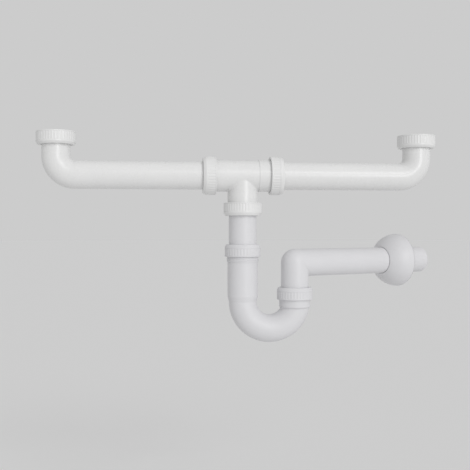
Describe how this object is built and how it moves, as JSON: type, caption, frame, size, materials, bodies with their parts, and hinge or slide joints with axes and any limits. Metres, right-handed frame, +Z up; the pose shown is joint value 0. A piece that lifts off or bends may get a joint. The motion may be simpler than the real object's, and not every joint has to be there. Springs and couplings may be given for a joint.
{
  "type": "sink u trap",
  "caption": "White tubular U trap for a double bowl sink: two elbowed inlet arms meet in a tee above a U bend, and a swivelling outlet bend leads through a domed wall rosette.",
  "frame": {"origin": "centre of the left inlet's sealing face, on the axis of its union nut", "axes": "+Z up along the inlet, +X towards the right inlet, +Y towards the wall"},
  "size_m": [0.5996, 0.1593, 0.2994],
  "materials": {
    "pipe_white": "satin gloss",
    "fitting_white": "satin gloss",
    "nut_white": "satin gloss",
    "seal_rubber": "matt"
  },
  "bodies": {
    "left_inlet_nut": {"left_inlet_nut": "nut_white"},
    "right_inlet_nut": {"right_inlet_nut": "nut_white"},
    "left_tee_nut": {"left_tee_nut": "nut_white"},
    "right_tee_nut": {"right_tee_nut": "nut_white"},
    "lower_tee_nut": {"lower_tee_nut": "nut_white"},
    "trap_inlet_nut": {"trap_inlet_nut": "nut_white"},
    "trap_outlet_nut": {"trap_outlet_nut": "nut_white"},
    "tee_body": {"tee_body": "fitting_white"},
    "dip_tube": {"dip_tube": "pipe_white"},
    "u_bend": {"u_bend": "fitting_white"},
    "outlet_bend": {"outlet_bend": "pipe_white"},
    "wall_rosette": {"wall_rosette": "fitting_white"},
    "left_tee_seal": {"left_tee_seal": "seal_rubber"},
    "right_tee_seal": {"right_tee_seal": "seal_rubber"},
    "lower_tee_seal": {"lower_tee_seal": "seal_rubber"},
    "trap_inlet_seal": {"trap_inlet_seal": "seal_rubber"},
    "trap_outlet_seal": {"trap_outlet_seal": "seal_rubber"},
    "left_arm": {"left_arm": "pipe_white", "left_inlet_washer": "seal_rubber"},
    "right_arm": {"right_arm": "pipe_white", "right_inlet_washer": "seal_rubber"}
  },
  "joints": [
    {"name": "left_inlet_nut_turn", "type": "hinge", "parent": "left_arm", "child": "left_inlet_nut", "pos_m": [0, 0, 0], "axis": [0, 0, -1], "continuous": true},
    {"name": "tee_slip", "type": "slide", "parent": "left_arm", "child": "left_tee_seal", "axis": [1, 0, 0], "range_m": [-0.0035, 0.012]},
    {"name": "tee_swivel", "type": "hinge", "parent": "left_tee_seal", "child": "tee_body", "pos_m": [0.2635, 0, -0.051], "axis": [1, 0, 0], "continuous": true},
    {"name": "left_tee_nut_turn", "type": "hinge", "parent": "tee_body", "child": "left_tee_nut", "pos_m": [0.2635, 0, -0.051], "axis": [-1, 0, 0], "range_deg": [0, 1530]},
    {"name": "right_tee_nut_turn", "type": "hinge", "parent": "tee_body", "child": "right_tee_nut", "pos_m": [0.2635, 0, -0.051], "axis": [1, 0, 0], "range_deg": [0, 1530]},
    {"name": "lower_tee_nut_turn", "type": "hinge", "parent": "tee_body", "child": "lower_tee_nut", "pos_m": [0.2635, 0, -0.051], "axis": [0, 0, -1], "range_deg": [0, 1530]},
    {"name": "right_arm_swivel", "type": "hinge", "parent": "tee_body", "child": "right_tee_seal", "pos_m": [0.2635, 0, -0.051], "axis": [1, 0, 0], "continuous": true},
    {"name": "right_arm_slip", "type": "slide", "parent": "right_tee_seal", "child": "right_arm", "axis": [1, 0, 0], "range_m": [-0.0035, 0.012]},
    {"name": "right_inlet_nut_turn", "type": "hinge", "parent": "right_arm", "child": "right_inlet_nut", "pos_m": [0.52, 0, 0], "axis": [0, 0, -1], "continuous": true},
    {"name": "dip_tube_swivel", "type": "hinge", "parent": "tee_body", "child": "lower_tee_seal", "pos_m": [0.2635, 0, -0.051], "axis": [0, 0, 1], "continuous": true},
    {"name": "dip_tube_slip", "type": "slide", "parent": "lower_tee_seal", "child": "dip_tube", "axis": [0, 0, 1], "range_m": [-0.012, 0.0035]},
    {"name": "u_bend_slip", "type": "slide", "parent": "dip_tube", "child": "trap_inlet_seal", "axis": [0, 0, 1], "range_m": [-0.02, 0.018]},
    {"name": "u_bend_swivel", "type": "hinge", "parent": "trap_inlet_seal", "child": "u_bend", "pos_m": [0.2635, 0, -0.1545], "axis": [0, 0, 1], "continuous": true},
    {"name": "trap_inlet_nut_turn", "type": "hinge", "parent": "u_bend", "child": "trap_inlet_nut", "pos_m": [0.2635, 0, -0.1545], "axis": [0, 0, 1], "range_deg": [0, 1530]},
    {"name": "trap_outlet_nut_turn", "type": "hinge", "parent": "u_bend", "child": "trap_outlet_nut", "pos_m": [0.3394, 0, -0.2165], "axis": [0, 0, 1], "range_deg": [0, 1530]},
    {"name": "outlet_swivel", "type": "hinge", "parent": "u_bend", "child": "trap_outlet_seal", "pos_m": [0.3394, 0, -0.2165], "axis": [0, 0, 1], "range_deg": [-162, 108]},
    {"name": "outlet_slip", "type": "slide", "parent": "trap_outlet_seal", "child": "outlet_bend", "axis": [0, 0, 1], "range_m": [-0.0035, 0.008]},
    {"name": "rosette_slide", "type": "slide", "parent": "outlet_bend", "child": "wall_rosette", "axis": [0.891, 0.454, 0], "range_m": [-0.06, 0.04]}
  ]
}
